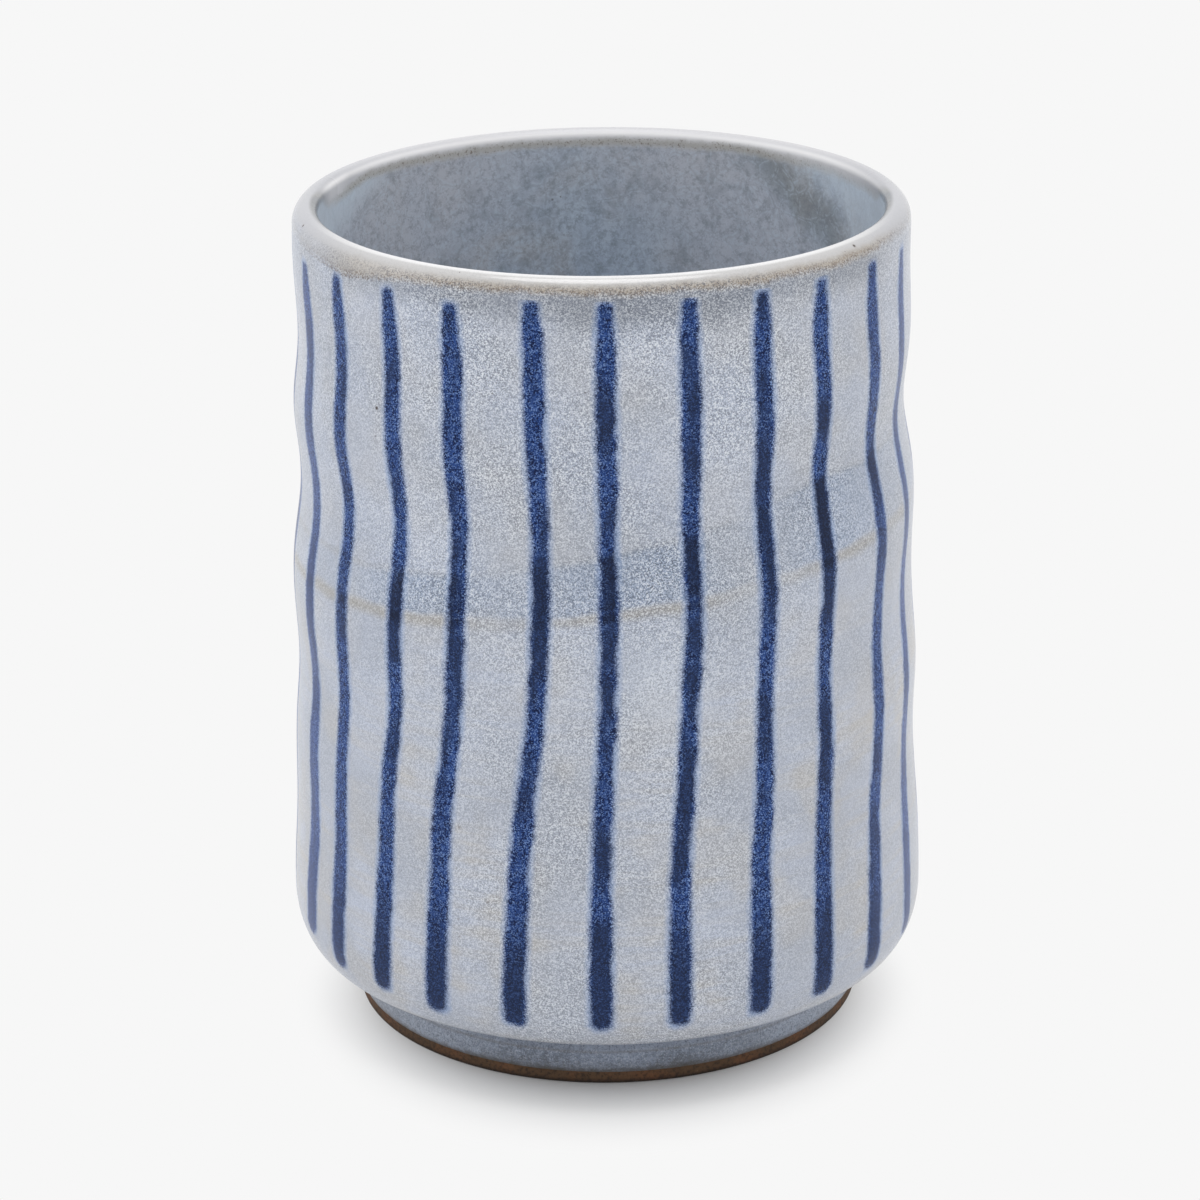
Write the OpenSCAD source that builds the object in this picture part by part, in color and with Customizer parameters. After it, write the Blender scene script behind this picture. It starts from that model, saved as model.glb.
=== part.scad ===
// Yunomi: a tall handleless tea cup of thrown stoneware, with cobalt brush strokes on a pale glaze.
// It stands on its foot ring at Z = 0, on the Z axis. The front, with the first stroke, faces -Y.

/* [Cup] */
// Height from the foot's standing face to the crown of the lip
cup_h = 100; // [85:1:120]
// Outside radius at the belly, the widest place, low on the wall
belly_r = 38.6; // [37:0.1:44]
// Outside radius just under the lip
neck_r = 36.2; // [34:0.1:38]
// Thickness of the wall at the lip, with its coats of glaze
wall_t = 3.05; // [2.8:0.05:3.6]
// Thickness of the wall at the belly, with its coats of glaze
base_wall_t = 4.8; // [4:0.1:6]
// Thickness of the floor, from the hollow of the foot to the inside
floor_t = 5.5; // [3.5:0.1:8]
// Radius of the rounding between the inside of the wall and the floor
inside_round = 12; // [6:0.5:16]

/* [Lip and corner] */
// Height of the rounded lip, which is also where its coat of glaze ends
lip_h = 2.2; // [1.6:0.1:4]
// How far the lip rounds in from the neck to its crown
lip_out = 1.95; // [1.4:0.05:2.1]
// Height of the rounded corner under the belly
corner_h = 6.5; // [4:0.1:8]
// How far the corner rounds in from the belly to the underside
corner_w = 3.8; // [2:0.1:5]

/* [Throwing groove] */
// Depth of the spiral groove where it is deepest, high on the wall
groove_depth = 1.1; // [0:0.05:1.3]
// Rise of the groove in one turn round the cup
groove_pitch = 22; // [18:0.5:30]
// Drop from the crown of the lip to the first pass of the groove, on the +X side
groove_drop = 23.5; // [18:0.5:30]

/* [Foot] */
// Height of the foot, from the standing face to the underside of the body
foot_h = 7.4; // [6.2:0.1:10]
// Outside radius of the foot
foot_r = 30.5; // [28:0.1:31.5]
// Width of the foot's standing ring
foot_wall = 5; // [3.5:0.1:7]
// Rounding of the edges of the standing face
foot_edge = 0.5; // [0.2:0.05:0.9]
// Height of the turned shoulder on the outside of the foot
shoulder_z = 4.4; // [3.4:0.1:5]
// Height of the slope above the shoulder
shoulder_h = 0.7; // [0.4:0.1:1]
// How far the shoulder stands out from the neck of the foot
shoulder_w = 0.5; // [0.2:0.05:0.9]
// How much the hollow of the foot narrows from its mouth to its ceiling
well_draft = 0.8; // [0.2:0.1:1.5]

/* [Glaze] */
// Thickness of each coat of glaze
glaze_t = 0.35; // [0.25:0.05:0.5]
// Height of the bare clay left under the foot's glaze
bare_h = 1.6; // [1.1:0.1:2]
// Height over which the glaze on the foot thins out to its edge
feather_h = 0.9; // [0.5:0.1:1.2]

/* [Brush strokes] */
// Number of brush strokes round the cup
stroke_count = 25; // [16:1:32]
// Width of a brush stroke
stroke_w = 2.1; // [1.2:0.1:2.8]
// Height that the pigment stands proud of the glaze
stroke_t = 0.15; // [0.1:0.01:0.3]
// Gap between the lip's coat and the top of the longest stroke
stroke_top_gap = 0.2; // [0.1:0.05:2]
// Gap between the underside of the body and the lower end of the longest stroke
stroke_foot_gap = 3.1; // [2.4:0.1:4]
// The most that the end of a shorter stroke falls short of the longest
stroke_scatter = 2; // [0:0.1:3]

/* [Hidden] */
// Heights and radii that follow from the sizes above
belly_z = foot_h + corner_h;
lip_z = cup_h - lip_h;
wall_h = lip_z - belly_z;
under_z = foot_h + glaze_t;
floor_z = foot_h + floor_t;
corner_r = belly_r - corner_w;
crown_r = neck_r - lip_out;
lip_in = wall_t - lip_out;
mouth_r = neck_r - wall_t;
mouth_z = cup_h - lip_in;
inside_r = belly_r - base_wall_t;
inside_z = floor_z + inside_round;
groove_z = cup_h - groove_drop;
foot_neck_r = foot_r - shoulder_w;
well_r = foot_r - foot_wall;
well_top_r = well_r - well_draft;

// The way from belly to neck: share of the wall's height, share of the change in radius
taper_shares = [[0, 0], [0.17, 0.23], [0.43, 0.42], [0.73, 0.75], [1, 1]];
// The groove fades down the wall: share of the wall's height, share of its full depth
groove_shares = [
    [0, 0], [0.12, 0.1], [0.25, 0.25], [0.36, 0.55], [0.5, 0.55],
    [0.62, 0.85], [0.75, 1], [0.88, 0.35], [1, 0]
];
// A stroke's width from its lower end to its top: share of its length, share of stroke_w
width_shares = [
    [0, 0.35], [0.012, 0.8], [0.03, 1], [0.25, 1.1], [0.6, 0.92],
    [0.9, 1], [0.95, 0.95], [0.98, 0.65], [1, 0.2]
];
// One row a stroke, from the front towards +X, and used again if there are more strokes than rows.
// Nudge, drift and bow are shares of the angle from one stroke to the next, width is a share of stroke_w,
// and the last two are the shares of stroke_scatter that its top and its foot fall short.
stroke_shares = [
    [0.03, -0.12, 0.02, 0.95, 0.0, 0.05],
    [0.06, -0.20, 0.03, 0.95, 0.0, 0.05],
    [0.02, -0.12, 0.06, 1.00, 0.0, 0.0],
    [-0.06, -0.09, 0.07, 1.03, 0.05, 0.0],
    [-0.02, -0.15, 0.17, 1.05, 0.2, 0.05],
    [-0.03, -0.10, 0.10, 1.00, 0.4, 0.3],
    [0.04, -0.05, 0.05, 1.05, 0.2, 0.6],
    [-0.05, -0.12, 0.08, 0.95, 0.1, 0.2],
    [0.03, -0.18, 0.04, 1.08, 0.3, 0.1],
    [0.06, -0.10, -0.04, 1.00, 0.5, 0.4],
    [-0.04, 0.06, 0.06, 1.10, 0.2, 0.7],
    [0.02, -0.08, 0.10, 0.98, 0.0, 0.3],
    [0.08, -0.16, 0.02, 1.02, 0.3, 0.0],
    [-0.02, -0.06, 0.08, 0.92, 0.6, 0.2],
    [-0.07, 0.08, 0.03, 1.05, 0.2, 0.5],
    [0.05, -0.14, 0.09, 1.10, 0.1, 0.3],
    [0.10, -0.20, 0.05, 1.00, 0.4, 0.1],
    [0.03, -0.04, -0.03, 0.96, 0.2, 0.4],
    [0.06, 0.05, 0.08, 1.12, 0.5, 0.6],
    [0.09, -0.06, 0.12, 1.06, 0.7, 0.8],
    [0.14, 0.12, 0.15, 1.25, 0.8, 1.0],
    [0.15, -0.08, 0.07, 1.05, 0.5, 0.3],
    [0.15, -0.19, 0.09, 1.00, 0.3, 0.3],
    [0.08, -0.26, 0.06, 1.05, 0.5, 0.0],
    [0.13, -0.28, 0.09, 1.00, 0.0, 0.05]
];
// Shares of a stroke's length, from its top, where the drift sets in, and over which it runs
drift_from_share = 0.4;
drift_over_share = 0.45;

// The wall is a lattice with three columns a stroke: its left edge, its right edge and the gap after it
columns = 3 * stroke_count;
slot_angle = 360 / stroke_count;
front_angle = -90;
stroke_rows = 30;
corner_rows = 3;
wall_rows = 17;
lip_steps = 3;
round_steps = 5;
fine_steps = 12;
// Share by which the stroke's rows crowd towards its two ends
crowd_share = 0.5;
// A ring of flat facets that lies outside a true circle of the same size
outside_circle = 1 / cos(180 / columns);

function mix(a, b, share) = a + (b - a) * share;
function clamp_share(s) = min(1, max(0, s));
function smooth(s) = let (c = clamp_share(s)) c * c * (3 - 2 * c);
function at_angle(a, r, z) = [r * cos(a), r * sin(a), z];
function degrees_of(length, r) = length / r * 180 / PI;

// The outside of the cup at an angle and a height, and inset under it the clay
function crest_r(z) = mix(belly_r, neck_r, lookup((z - belly_z) / wall_h, taper_shares));
function groove_wave(a, z) = (1 + cos(360 * (z - groove_z) / groove_pitch - a)) / 2;
function groove(a, z) = groove_depth * lookup((z - belly_z) / wall_h, groove_shares) * groove_wave(a, z);
function corner_share(z, inset) = clamp_share((belly_z - z) / (corner_h - inset));
function corner_reach(z, inset) = (corner_w - inset) * sqrt(1 - pow(corner_share(z, inset), 2));
function skin_r(a, z, inset) =
    z < belly_z ? corner_r + corner_reach(z, inset) : crest_r(z) - groove(a, z) - inset;
function skin_point(a, z, inset) = at_angle(a, skin_r(a, z, inset), z);

// The inside of the cup, as a radius at a height above the floor's rounding
function inside_at(z) = mix(mouth_r, inside_r, (mouth_z - z) / (mouth_z - inside_z));

// Even columns, where the lattice has no stroke to follow
function even_angle(k) = front_angle + slot_angle * (k - 0.5) / 3;
function even_ring(r, z) = [for (k = [0:columns - 1]) at_angle(even_angle(k), r, z)];
function clay_ring(z) = [for (k = [0:columns - 1]) skin_point(even_angle(k), z, glaze_t)];

// A stroke's centre line and its edges, with the share of its length counted from its lower end
function stroke_row(i) = stroke_shares[i % len(stroke_shares)];
function stroke_turn(i, share) =
    let (row = stroke_row(i), s = 1 - share)
    i + row[0] + row[1] * smooth((s - drift_from_share) / drift_over_share) + row[2] * sin(180 * s);
function stroke_angle(i, share) = front_angle + slot_angle * stroke_turn(i, share);
function stroke_half(i, share) =
    degrees_of(stroke_w * stroke_row(i)[3] * lookup(share, width_shares) / 2, belly_r);
function stroke_low(i) = foot_h + stroke_foot_gap + stroke_scatter * stroke_row(i)[5];
function stroke_high(i) = lip_z - stroke_top_gap - stroke_scatter * stroke_row(i)[4];
function row_share(j) =
    let (s = j / stroke_rows)
    mix(s, (1 - cos(180 * s)) / 2, crowd_share);
function stroke_z(i, share) = mix(stroke_low(i), stroke_high(i), share);

// Angle and height of the lattice at column k, beside or between strokes i and i + 1
function wrapped(i) = i % stroke_count;
function gap_turn(i, share) =
    let (last = i == stroke_count - 1)
    mix(stroke_angle(i, share), stroke_angle(wrapped(i + 1), share) + (last ? 360 : 0), 0.5);
function lattice_angle(k, share) =
    let (i = floor(k / 3), m = k % 3)
    m == 2 ? gap_turn(i, share) : stroke_angle(i, share) + (2 * m - 1) * stroke_half(i, share);
function lattice_z(k, share) =
    let (i = floor(k / 3), here = stroke_z(i, share), next = stroke_z(wrapped(i + 1), share))
    k % 3 == 2 ? mix(here, next, 0.5) : here;
function lattice_point(k, share, proud) = skin_point(lattice_angle(k, share), lattice_z(k, share), -proud);
function lattice_ring(share) = [for (k = [0:columns - 1]) lattice_point(k, share, 0)];

// Rows that run from the strokes' lower ends round the corner, and even out on the way
function corner_point(k, s) =
    let (
        turn = mix(asin(corner_share(lattice_z(k, 0), 0)), 90, s),
        a = mix(lattice_angle(k, 0), even_angle(k), s)
    )
    at_angle(a, corner_r + corner_w * cos(turn), belly_z - corner_h * sin(turn));
function corner_ring(s) = [for (k = [0:columns - 1]) corner_point(k, s)];

// Heights of the rows where the clay meets the outer glaze, from the underside to the lip
clay_heights = concat(
    [for (turn = [90, 70, 45, 20]) belly_z - (corner_h - glaze_t) * sin(turn)],
    [for (j = [0:wall_rows]) mix(belly_z, lip_z, j / wall_rows)]
);

function flatten(lists) = [for (list = lists) each list];

// Two triangles for each patch between ring j and ring j + 1 of rings with n points each
function band_faces(n, j, next) = [
    for (k = [0:n - 1])
        let (b = (k + 1) % n)
        each [
            [j * n + k, next * n + b, j * n + b],
            [j * n + k, next * n + k, next * n + b]
        ]
];

// A solid whose surface runs from ring to ring and back to the first one, like a tyre
module tyre(rings) {
    n = len(rings[0]);
    count = len(rings);
    faces = flatten([for (j = [0:count - 1]) band_faces(n, j, (j + 1) % count)]);
    polyhedron(points = flatten(rings), faces = faces);
}

// A solid whose surface runs from a point on the axis, through the rings, to another point on the axis
module spindle(rings, first_z, last_z) {
    n = len(rings[0]);
    count = len(rings);
    first = n * count;
    last = first + 1;
    sides = flatten([for (j = [0:count - 2]) band_faces(n, j, j + 1)]);
    first_fan = [for (k = [0:n - 1]) [first, k, (k + 1) % n]];
    last_fan = [for (k = [0:n - 1]) [last, (count - 1) * n + (k + 1) % n, (count - 1) * n + k]];
    points = concat(flatten(rings), [[0, 0, first_z], [0, 0, last_z]]);
    polyhedron(points = points, faces = concat(first_fan, sides, last_fan));
}

// Points of a quarter of an ellipse about [r, z], from one turn to the other
function quarter(r, z, w, h, from, to, steps) = [
    for (j = [0:steps])
        let (turn = mix(from, to, j / steps))
        [r + w * cos(turn), z + h * sin(turn)]
];

module turned(outline) {
    rotate_extrude($fn = 180) polygon(outline);
}

// The thrown clay: floor, wall and lip in one piece, from the underside up and over the lip to the floor
module clay_body() {
    lip_side = [
        for (p = quarter(crown_r, lip_z, lip_out - glaze_t, lip_h - glaze_t, 0, 90, lip_steps))
            if (p[1] > lip_z) even_ring(p[0], p[1])
    ];
    mouth_side = [
        for (p = quarter(crown_r, mouth_z, lip_in - glaze_t, lip_in - glaze_t, 90, 180, lip_steps))
            if (p[0] < crown_r) even_ring(p[0] * outside_circle, p[1])
    ];
    floor_side = [
        for (p = inside_quarter(glaze_t, round_steps))
            even_ring(p[0] * outside_circle, p[1])
    ];
    outside = [for (z = clay_heights) clay_ring(z)];
    color("#7a5a47")
        spindle(concat(outside, lip_side, mouth_side, floor_side), under_z, floor_z - glaze_t);
}

// The rounding between the wall and the floor, behind a coat of the given thickness
function inside_quarter(coat, steps) =
    quarter(inside_r - inside_round, inside_z, inside_round + coat, inside_round + coat, 0, -90, steps);

// The turned foot: a flat standing face with eased edges, a shoulder outside and a sloped hollow inside
module foot_ring() {
    outline = concat(
        quarter(foot_r - foot_edge, foot_edge, foot_edge, foot_edge, -90, 0, lip_steps),
        [
            [foot_r, shoulder_z],
            [foot_neck_r, shoulder_z + shoulder_h],
            [foot_neck_r, under_z],
            [well_top_r, under_z]
        ],
        quarter(well_r + foot_edge, foot_edge, foot_edge, foot_edge, 180, 270, lip_steps)
    );
    color("#5d4334") turned(outline);
}

// The pale glaze outside, from the lip's coat down round the corner to the neck of the foot
module outer_glaze() {
    inner_edge_r = foot_neck_r * outside_circle;
    outside = concat(
        [even_ring(inner_edge_r, foot_h)],
        [for (j = [0:corner_rows - 1]) corner_ring(1 - j / corner_rows)],
        [for (j = [0:stroke_rows]) lattice_ring(row_share(j))],
        [even_ring(neck_r, lip_z)]
    );
    last = len(clay_heights) - 1;
    inside = [for (j = [0:last]) clay_ring(clay_heights[last - j])];
    color("#c8ccd4")
        tyre(concat(outside, inside, [even_ring(inner_edge_r, under_z)]));
}

// The coat that rounds over the lip and ends level with the outer glaze, inside and out
module lip_glaze() {
    outline = concat(
        quarter(crown_r, lip_z, lip_out, lip_h, 0, 90, fine_steps),
        quarter(crown_r, mouth_z, lip_in, lip_in, 90, 180, fine_steps),
        [[inside_at(lip_z), lip_z], [inside_at(lip_z) + glaze_t, lip_z]],
        quarter(crown_r, mouth_z, lip_in - glaze_t, lip_in - glaze_t, 180, 90, lip_steps),
        quarter(crown_r, lip_z, lip_out - glaze_t, lip_h - glaze_t, 90, 0, lip_steps)
    );
    color("#ddd6ca") turned(outline);
}

// The glaze inside, from the lip's coat down the wall and over the floor
module inner_glaze() {
    outline = concat(
        [[inside_at(lip_z) + glaze_t, lip_z]],
        inside_quarter(glaze_t, round_steps),
        [[0, floor_z - glaze_t], [0, floor_z]],
        [for (j = [fine_steps:-1:0]) inside_quarter(0, fine_steps)[j]],
        [[inside_at(lip_z), lip_z]]
    );
    color("#8c949c") turned(outline);
}

// The blue-grey glaze on the outside of the foot, which thins out above a strip of bare clay
module foot_glaze() {
    outline = [
        [foot_r, bare_h],
        [foot_r + glaze_t, bare_h + feather_h],
        [foot_r + glaze_t, shoulder_z],
        [foot_neck_r + glaze_t, shoulder_z + shoulder_h],
        [foot_neck_r + glaze_t, foot_h],
        [foot_neck_r, foot_h],
        [foot_neck_r, shoulder_z + shoulder_h],
        [foot_r, shoulder_z]
    ];
    color("#7d8696") turned(outline);
}

// The glaze in the hollow of the foot, on its ceiling and down its side
module well_glaze() {
    side_z = bare_h + feather_h;
    outline = [
        [0, foot_h],
        [well_top_r - glaze_t, foot_h],
        [well_side_r(side_z) - glaze_t, side_z],
        [well_side_r(bare_h), bare_h],
        [well_top_r, under_z],
        [0, under_z]
    ];
    color("#8b9199") turned(outline);
}

// Radius of the foot's hollow at a height
function well_side_r(z) = mix(well_r, well_top_r, (z - foot_edge) / (under_z - foot_edge));

// One brush stroke: a low ridge of pigment that seats on the lattice of the outer glaze
module stripe(i) {
    sections = [
        for (j = [0:stroke_rows])
            let (
                share = row_share(j),
                z = stroke_z(i, share)
            )
            [
                lattice_point(3 * i, share, 0),
                skin_point(stroke_angle(i, share), z, -stroke_t),
                lattice_point(3 * i + 1, share, 0)
            ]
    ];
    top = 3 * stroke_rows;
    sides = [
        for (j = [0:stroke_rows - 1])
            let (a = 3 * j, b = 3 * j + 3)
            each [
                [a, b + 1, a + 1],
                [a, b, b + 1],
                [a + 1, b + 2, a + 2],
                [a + 1, b + 1, b + 2],
                [a, a + 2, b + 2],
                [a, b + 2, b]
            ]
    ];
    ends = [[0, 1, 2], [top, top + 2, top + 1]];
    color("#2f4a94")
        polyhedron(points = flatten(sections), faces = concat(sides, ends));
}

function stripe_name(i) = str("stripe_", i < 9 ? "0" : "", i + 1);

clay_body();
foot_ring();
outer_glaze();
lip_glaze();
inner_glaze();
foot_glaze();
well_glaze();
for (i = [0:stroke_count - 1]) {
    stripe(i);
}
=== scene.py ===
"""The looks of a yunomi tea cup: smooth coats of glaze and brush strokes over the packed clay.

Everything is in metres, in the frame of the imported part: the cup stands at Z = 0 and its front faces -Y.
"""

import math

import bpy
import numpy as np
from mathutils import Matrix, Vector


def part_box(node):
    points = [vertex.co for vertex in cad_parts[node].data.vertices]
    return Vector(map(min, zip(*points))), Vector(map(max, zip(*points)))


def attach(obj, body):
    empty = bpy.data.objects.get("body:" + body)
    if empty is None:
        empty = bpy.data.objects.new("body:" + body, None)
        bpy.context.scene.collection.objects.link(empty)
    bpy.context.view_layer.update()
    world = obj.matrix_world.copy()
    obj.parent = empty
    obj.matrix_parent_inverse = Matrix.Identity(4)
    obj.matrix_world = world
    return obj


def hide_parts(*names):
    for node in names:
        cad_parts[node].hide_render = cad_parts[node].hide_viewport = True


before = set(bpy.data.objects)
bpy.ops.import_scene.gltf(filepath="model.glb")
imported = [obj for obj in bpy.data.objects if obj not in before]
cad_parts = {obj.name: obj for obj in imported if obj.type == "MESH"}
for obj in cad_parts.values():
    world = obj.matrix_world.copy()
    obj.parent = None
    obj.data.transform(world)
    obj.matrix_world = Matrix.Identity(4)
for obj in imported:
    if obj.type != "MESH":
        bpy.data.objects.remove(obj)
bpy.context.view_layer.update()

MM = 0.001
ROOT = "root"


def reach(node):
    """Largest distance from the cup's axis to a point of a CAD node."""
    return max(math.hypot(v.co.x, v.co.y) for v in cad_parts[node].data.vertices)


# Heights and radii of the cup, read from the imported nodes. The foot is a little fuller here, as in the photo.
CUP_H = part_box("lip_glaze")[1].z
LIP_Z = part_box("lip_glaze")[0].z
NECK_R = reach("lip_glaze")
FOOT_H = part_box("outer_glaze")[0].z
FOOT_FULLER = 0.4 * MM
FOOT_R = reach("foot_ring") + FOOT_FULLER
UNDER_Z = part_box("foot_ring")[1].z
INNER_FLOOR_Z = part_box("inner_glaze")[0].z
WELL_TOP_R = reach("well_glaze")

# Sizes of the cup that its nodes' boxes don't give
GLAZE_T = UNDER_Z - FOOT_H
BELLY_R = 38.6 * MM
CORNER_H = 6.5 * MM
CORNER_W = 3.8 * MM
LIP_OUT = 1.95 * MM
WALL_T = 3.05 * MM
BASE_WALL_T = 4.8 * MM
INSIDE_ROUND = 12 * MM
GROOVE_DEPTH = 1.1 * MM
GROOVE_PITCH = 22 * MM
GROOVE_DROP = 23.5 * MM
FOOT_WALL = 5 * MM
FOOT_EDGE = 0.5 * MM
SHOULDER_Z = 4.4 * MM
SHOULDER_H = 0.7 * MM
SHOULDER_W = 0.5 * MM
WELL_DRAFT = 0.8 * MM
BARE_H = 1.6 * MM
FEATHER_H = 0.9 * MM
TAPER_SHARES = ((0, 0), (0.17, 0.23), (0.43, 0.42), (0.73, 0.75), (1, 1))
GROOVE_SHARES = (
    (0, 0), (0.12, 0.1), (0.25, 0.25), (0.36, 0.55), (0.5, 0.55),
    (0.62, 0.85), (0.75, 1), (0.88, 0.35), (1, 0),
)

# What follows from them
BELLY_Z = FOOT_H + CORNER_H
CORNER_R = BELLY_R - CORNER_W
CROWN_R = NECK_R - LIP_OUT
LIP_IN = WALL_T - LIP_OUT
MOUTH_R = NECK_R - WALL_T
MOUTH_Z = CUP_H - LIP_IN
FLOOR_Z = INNER_FLOOR_Z + GLAZE_T
INSIDE_R = BELLY_R - BASE_WALL_T
INSIDE_Z = FLOOR_Z + INSIDE_ROUND
GROOVE_Z = CUP_H - GROOVE_DROP
FOOT_NECK_R = FOOT_R - SHOULDER_W
WELL_R = FOOT_R - FOOT_FULLER - FOOT_WALL

# Unevenness of a hand-thrown wall: height, waves round the cup and rise of one wave
WOBBLES = ((0.09 * MM, 2, 47 * MM), (0.06 * MM, 5, -29 * MM), (0.035 * MM, 11, 17 * MM))

# Steps of the meshes, what a hidden stretch keeps of its place on the texture map, and the angle from
# which an edge is sharp, in degrees
COLUMNS = 360
WALL_ROWS = 150
BACK_ROWS = 24
CORNER_ROWS = 40
STROKE_ROWS = 140
STROKE_COLUMNS = 10
HIDDEN_SHARE = 0.05
SHARP_ANGLE = 38

# Spacing of the rings that the turning tool left under the foot
TOOL_RING_STEP = 0.55 * MM

# How far a stroke's pigment spreads into the glaze on each side, and how far its halo goes past that
SPREAD = 0.22 * MM
BLEED = 0.85 * MM
# What a stroke's half width gains or loses along the way from its lower end to its top
FULLNESS = (
    (0, 0.2 * MM), (0.12, 0.14 * MM), (0.25, -0.06 * MM), (0.4, -0.06 * MM),
    (0.6, 0.02 * MM), (0.8, 0.1 * MM), (1, 0.16 * MM),
)
# How far from its lower end and from its top a stroke takes on its width, and how round its ends are
FOOT_WIDENS = 2.2 * MM
TOP_WIDENS = 1.4 * MM
END_ROUND_SHARE = 0.8
# How far a stroke's film stands proud of the glaze, how deep its rim lies under it, and how deep its back is
STROKE_PROUD = 0.02 * MM
STROKE_SINK = 0.008 * MM
STROKE_BACK = 0.2 * MM


def eased(at, value, x, level_ends=False):
    """A smooth curve through the points (at, value), read at x."""
    at = np.asarray(at, float)
    value = np.asarray(value, float)
    slope = np.gradient(value, at)
    if level_ends:
        slope[[0, -1]] = 0
    i = np.clip(np.searchsorted(at, x) - 1, 0, len(at) - 2)
    step = at[i + 1] - at[i]
    t = np.clip((x - at[i]) / step, 0, 1)
    rest = 1 - t
    ends = value[i] * rest**2 * (1 + 2 * t) + value[i + 1] * t**2 * (3 - 2 * t)
    return ends + step * t * rest * (slope[i] * rest - slope[i + 1] * t)


def wall_r(turn, z):
    """Outside radius of the glazed wall at an angle from +X, in radians, and a height."""
    share = (z - BELLY_Z) / (LIP_Z - BELLY_Z)
    taper = eased(*zip(*TAPER_SHARES), share, level_ends=True)
    crest = BELLY_R + (NECK_R - BELLY_R) * taper
    wave = (1 + np.cos(2 * np.pi * (z - GROOVE_Z) / GROOVE_PITCH - turn)) / 2
    groove = GROOVE_DEPTH * eased(*zip(*GROOVE_SHARES), share, level_ends=True) * wave
    inside = np.clip(share, 0, 1)
    wobble = sum(h * np.sin(n * turn + 2 * np.pi * z / rise) for h, n, rise in WOBBLES)
    wall = crest - groove + wobble * np.sin(np.pi * inside)
    drop = np.clip((BELLY_Z - z) / CORNER_H, 0, 1)
    return np.where(z < BELLY_Z, CORNER_R + CORNER_W * np.sqrt(1 - drop**2), wall)


def around(turn, r, z):
    """Points at an angle from +X, a distance from the axis and a height: X, Y and Z are the last axis."""
    return np.stack(np.broadcast_arrays(r * np.cos(turn), r * np.sin(turn), z), axis=-1)


def arc(r, z, w, h, start, end, steps):
    """Points (radius, height) of an arc of an ellipse, with its turns in degrees."""
    turns = np.radians(np.linspace(start, end, steps + 1))
    return [(r + w * math.cos(t), z + h * math.sin(t)) for t in turns]


def solid(name, rings, along, across, poles=(), values=None):
    """A closed mesh from rings of points, each one anticlockwise seen from above.

    The last ring joins the first, or with poles a fan closes each end. along and across are the rings' and
    the columns' places on the texture map, each with one more entry than there are, and values holds numbers
    kept at the points, by name.
    """
    count, columns = rings.shape[:2]
    points = np.concatenate([rings.reshape(-1, 3), np.reshape(poles, (-1, 3))])
    last_band = count - 1 if len(poles) else count
    faces, corners = [], []
    for j in range(last_band):
        above = (j + 1) % count
        for k in range(columns):
            right = (k + 1) % columns
            faces.append((j * columns + k, j * columns + right, above * columns + right, above * columns + k))
            corners += [
                (across[k], along[j]), (across[k + 1], along[j]),
                (across[k + 1], along[j + 1]), (across[k], along[j + 1]),
            ]
    if len(poles):
        first, last = len(points) - 2, len(points) - 1
        top = (count - 1) * columns
        for k in range(columns):
            right = (k + 1) % columns
            middle = (across[k] + across[k + 1]) / 2
            faces.append((first, right, k))
            corners += [(middle, 0), (across[k + 1], along[0]), (across[k], along[0])]
            faces.append((last, top + k, top + right))
            corners += [(middle, 1), (across[k], along[count - 1]), (across[k + 1], along[count - 1])]
    mesh = bpy.data.meshes.new(name)
    mesh.from_pydata(points.tolist(), [], faces)
    mesh.uv_layers.new(name="OFBake").data.foreach_set("uv", np.array(corners, float).ravel())
    for label, numbers in (values or {}).items():
        kept = np.append(numbers.ravel(), [numbers[0].mean(), numbers[-1].mean()][: len(poles)])
        mesh.attributes.new(label, "FLOAT", "POINT").data.foreach_set("value", kept)
    mesh.shade_smooth()
    mesh.set_sharp_from_angle(angle=math.radians(SHARP_ANGLE))
    piece = bpy.data.objects.new(name, mesh)
    bpy.context.scene.collection.objects.link(piece)
    return piece


def spread(rings, hidden):
    """Places of rings on the map, in step with the way from ring to ring. Hidden ones are drawn together."""
    ways = np.linalg.norm(np.diff(rings[:, 0], axis=0, append=rings[:1, 0]), axis=1)
    ways[list(hidden)] *= HIDDEN_SHARE
    return np.append(0, np.cumsum(ways)) / ways.sum()


def turned(name, outline, hidden=(), poles=()):
    """A solid of revolution with an outline of (radius, height), going up on its outside."""
    turns = np.linspace(0, 2 * np.pi, COLUMNS, endpoint=False)
    rings = np.stack([around(turns, r, z) for r, z in outline])
    along = spread(rings, hidden)
    across = np.linspace(0, 1, COLUMNS + 1)
    return solid(name, rings, along, across, [(0, 0, z) for z in poles])


def lined(start, end, steps):
    """Points on the way from start to end, without end itself."""
    return [tuple(np.array(start) + (np.array(end) - start) * j / steps) for j in range(steps)]


def dress(piece, node, material):
    """Puts a piece in a CAD node's place, with its material, so that it moves with the cup."""
    piece.data.materials.append(material)
    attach(piece, ROOT)
    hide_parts(node)


def inside_at(z):
    """Radius of the inside of the cup between the lip and the rounding of its floor."""
    return MOUTH_R + (INSIDE_R - MOUTH_R) * (MOUTH_Z - z) / (MOUTH_Z - INSIDE_Z)


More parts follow.
